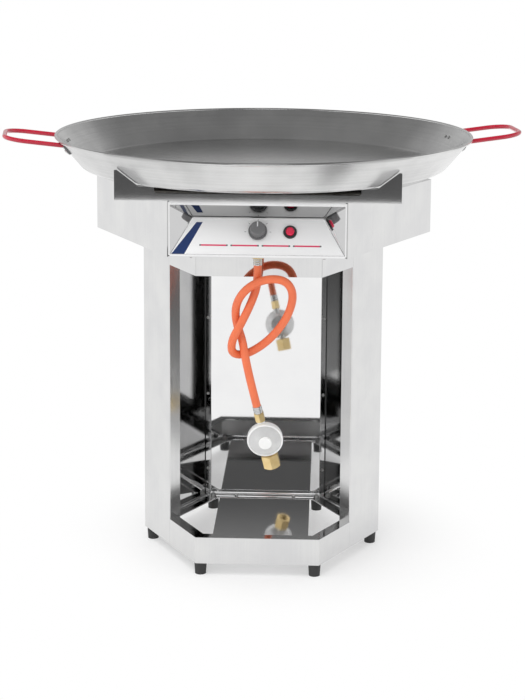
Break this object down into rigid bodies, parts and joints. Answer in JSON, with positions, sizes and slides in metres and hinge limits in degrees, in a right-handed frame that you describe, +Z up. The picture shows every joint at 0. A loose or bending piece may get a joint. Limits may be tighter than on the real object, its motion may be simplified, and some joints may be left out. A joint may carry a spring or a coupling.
{
  "type": "gas barbecue",
  "caption": "Gas barbecue: hexagonal folded steel stand with an open bottle bay, a burner housing with a control recess, and a loose round pan with loop handles.",
  "frame": {"origin": "on the floor under the axis of the six-sided stand", "axes": "+Z up, -Y towards the control recess and the open bottle bay, +X towards the igniter button"},
  "size_m": [0.9924, 0.8, 0.8249],
  "materials": {
    "stainless_sheet": "brushed outside, polished inside",
    "polished_sheet": "mirror polished",
    "foot_rubber": "matte",
    "fasteners": "plain",
    "panel_film": "satin printed film",
    "brass_fittings": "turned",
    "knob_plastic": "fine moulded grain",
    "pointer_white": "plain",
    "black_plastic": "moulded",
    "button_red": "gloss",
    "burner_iron": "cast",
    "burner_steel": "mill",
    "ceramic": "glazed",
    "pan_steel": "polished, spun",
    "handle_red": "gloss enamel",
    "hose_rubber": "smooth extruded",
    "ferrule_steel": "zinc plated",
    "regulator_alloy": "satin cast",
    "seal_rubber": "matte",
    "cap_white": "moulded"
  },
  "bodies": {
    "stand": {"side_panel_left": "stainless_sheet", "side_panel_right": "stainless_sheet", "rear_panel": "polished_sheet", "front_plinth": "stainless_sheet", "front_lintel": "stainless_sheet", "cylinder_shelf": "polished_sheet", "rubber_feet": "foot_rubber", "foot_screws": "fasteners", "corner_nuts": "fasteners", "stand_bolts": "fasteners", "sheet_rivets": "fasteners", "burner_tray": "stainless_sheet", "housing_side_left": "stainless_sheet", "housing_side_right": "stainless_sheet", "housing_rear": "stainless_sheet", "fascia": "polished_sheet", "niche_cheek_left": "polished_sheet", "niche_cheek_right": "polished_sheet", "control_overlay": "panel_film", "gas_valve": "brass_fittings", "valve_nut": "fasteners", "igniter_body": "black_plastic", "igniter_nut": "black_plastic", "igniter_lead": "black_plastic", "inlet_fitting": "brass_fittings", "inlet_nut": "brass_fittings", "burner_hub": "burner_iron", "burner_cap": "burner_iron", "burner_arms": "burner_steel", "mixing_tube": "burner_steel", "jet_bracket": "burner_steel", "injector": "brass_fittings", "feed_pipe": "brass_fittings", "ignition_bracket": "burner_steel", "thermocouple": "brass_fittings", "spark_electrode": "ceramic", "pan_support_front": "polished_sheet", "pan_support_rear": "polished_sheet", "housing_screws": "fasteners", "gas_hose": "hose_rubber", "hose_ferrule": "ferrule_steel", "hose_nut": "brass_fittings", "regulator_body": "regulator_alloy", "regulator_diaphragm": "seal_rubber", "regulator_cover": "regulator_alloy", "regulator_cap": "cap_white", "nut_seal": "seal_rubber"},
    "pan": {"pan_bowl": "pan_steel", "handle_left": "handle_red", "handle_right": "handle_red", "handle_rivets": "fasteners"},
    "valve_plug": {"valve_plug": "brass_fittings"},
    "knob": {"gas_knob": "knob_plastic", "knob_pointer": "pointer_white", "valve_spindle": "fasteners"},
    "igniter_button": {"igniter_button": "button_red"},
    "cylinder_nut": {"cylinder_nut": "brass_fittings"}
  },
  "joints": [
    {"name": "pan_lift", "type": "slide", "parent": "stand", "child": "pan", "axis": [0, 0, 1], "range_m": [0, 0.25]},
    {"name": "valve_turn", "type": "hinge", "parent": "stand", "child": "valve_plug", "pos_m": [0, -0.25588, 0.67298], "axis": [0, -0.8648, 0.5021], "range_deg": [0, 180]},
    {"name": "knob_push", "type": "slide", "parent": "valve_plug", "child": "knob", "axis": [0, 0.8648, -0.5021], "range_m": [0, 0.003], "stiffness_N_per_m": 800, "springref_m": -0.002},
    {"name": "igniter_press", "type": "slide", "parent": "stand", "child": "igniter_button", "axis": [0, 0.8648, -0.5021], "range_m": [0, 0.004], "stiffness_N_per_m": 1000, "springref_m": -0.002},
    {"name": "cylinder_nut_spin", "type": "hinge", "parent": "stand", "child": "cylinder_nut", "pos_m": [0.0284, -0.22946, 0.22793], "axis": [0.2185, 0.2367, -0.9467], "continuous": true}
  ]
}
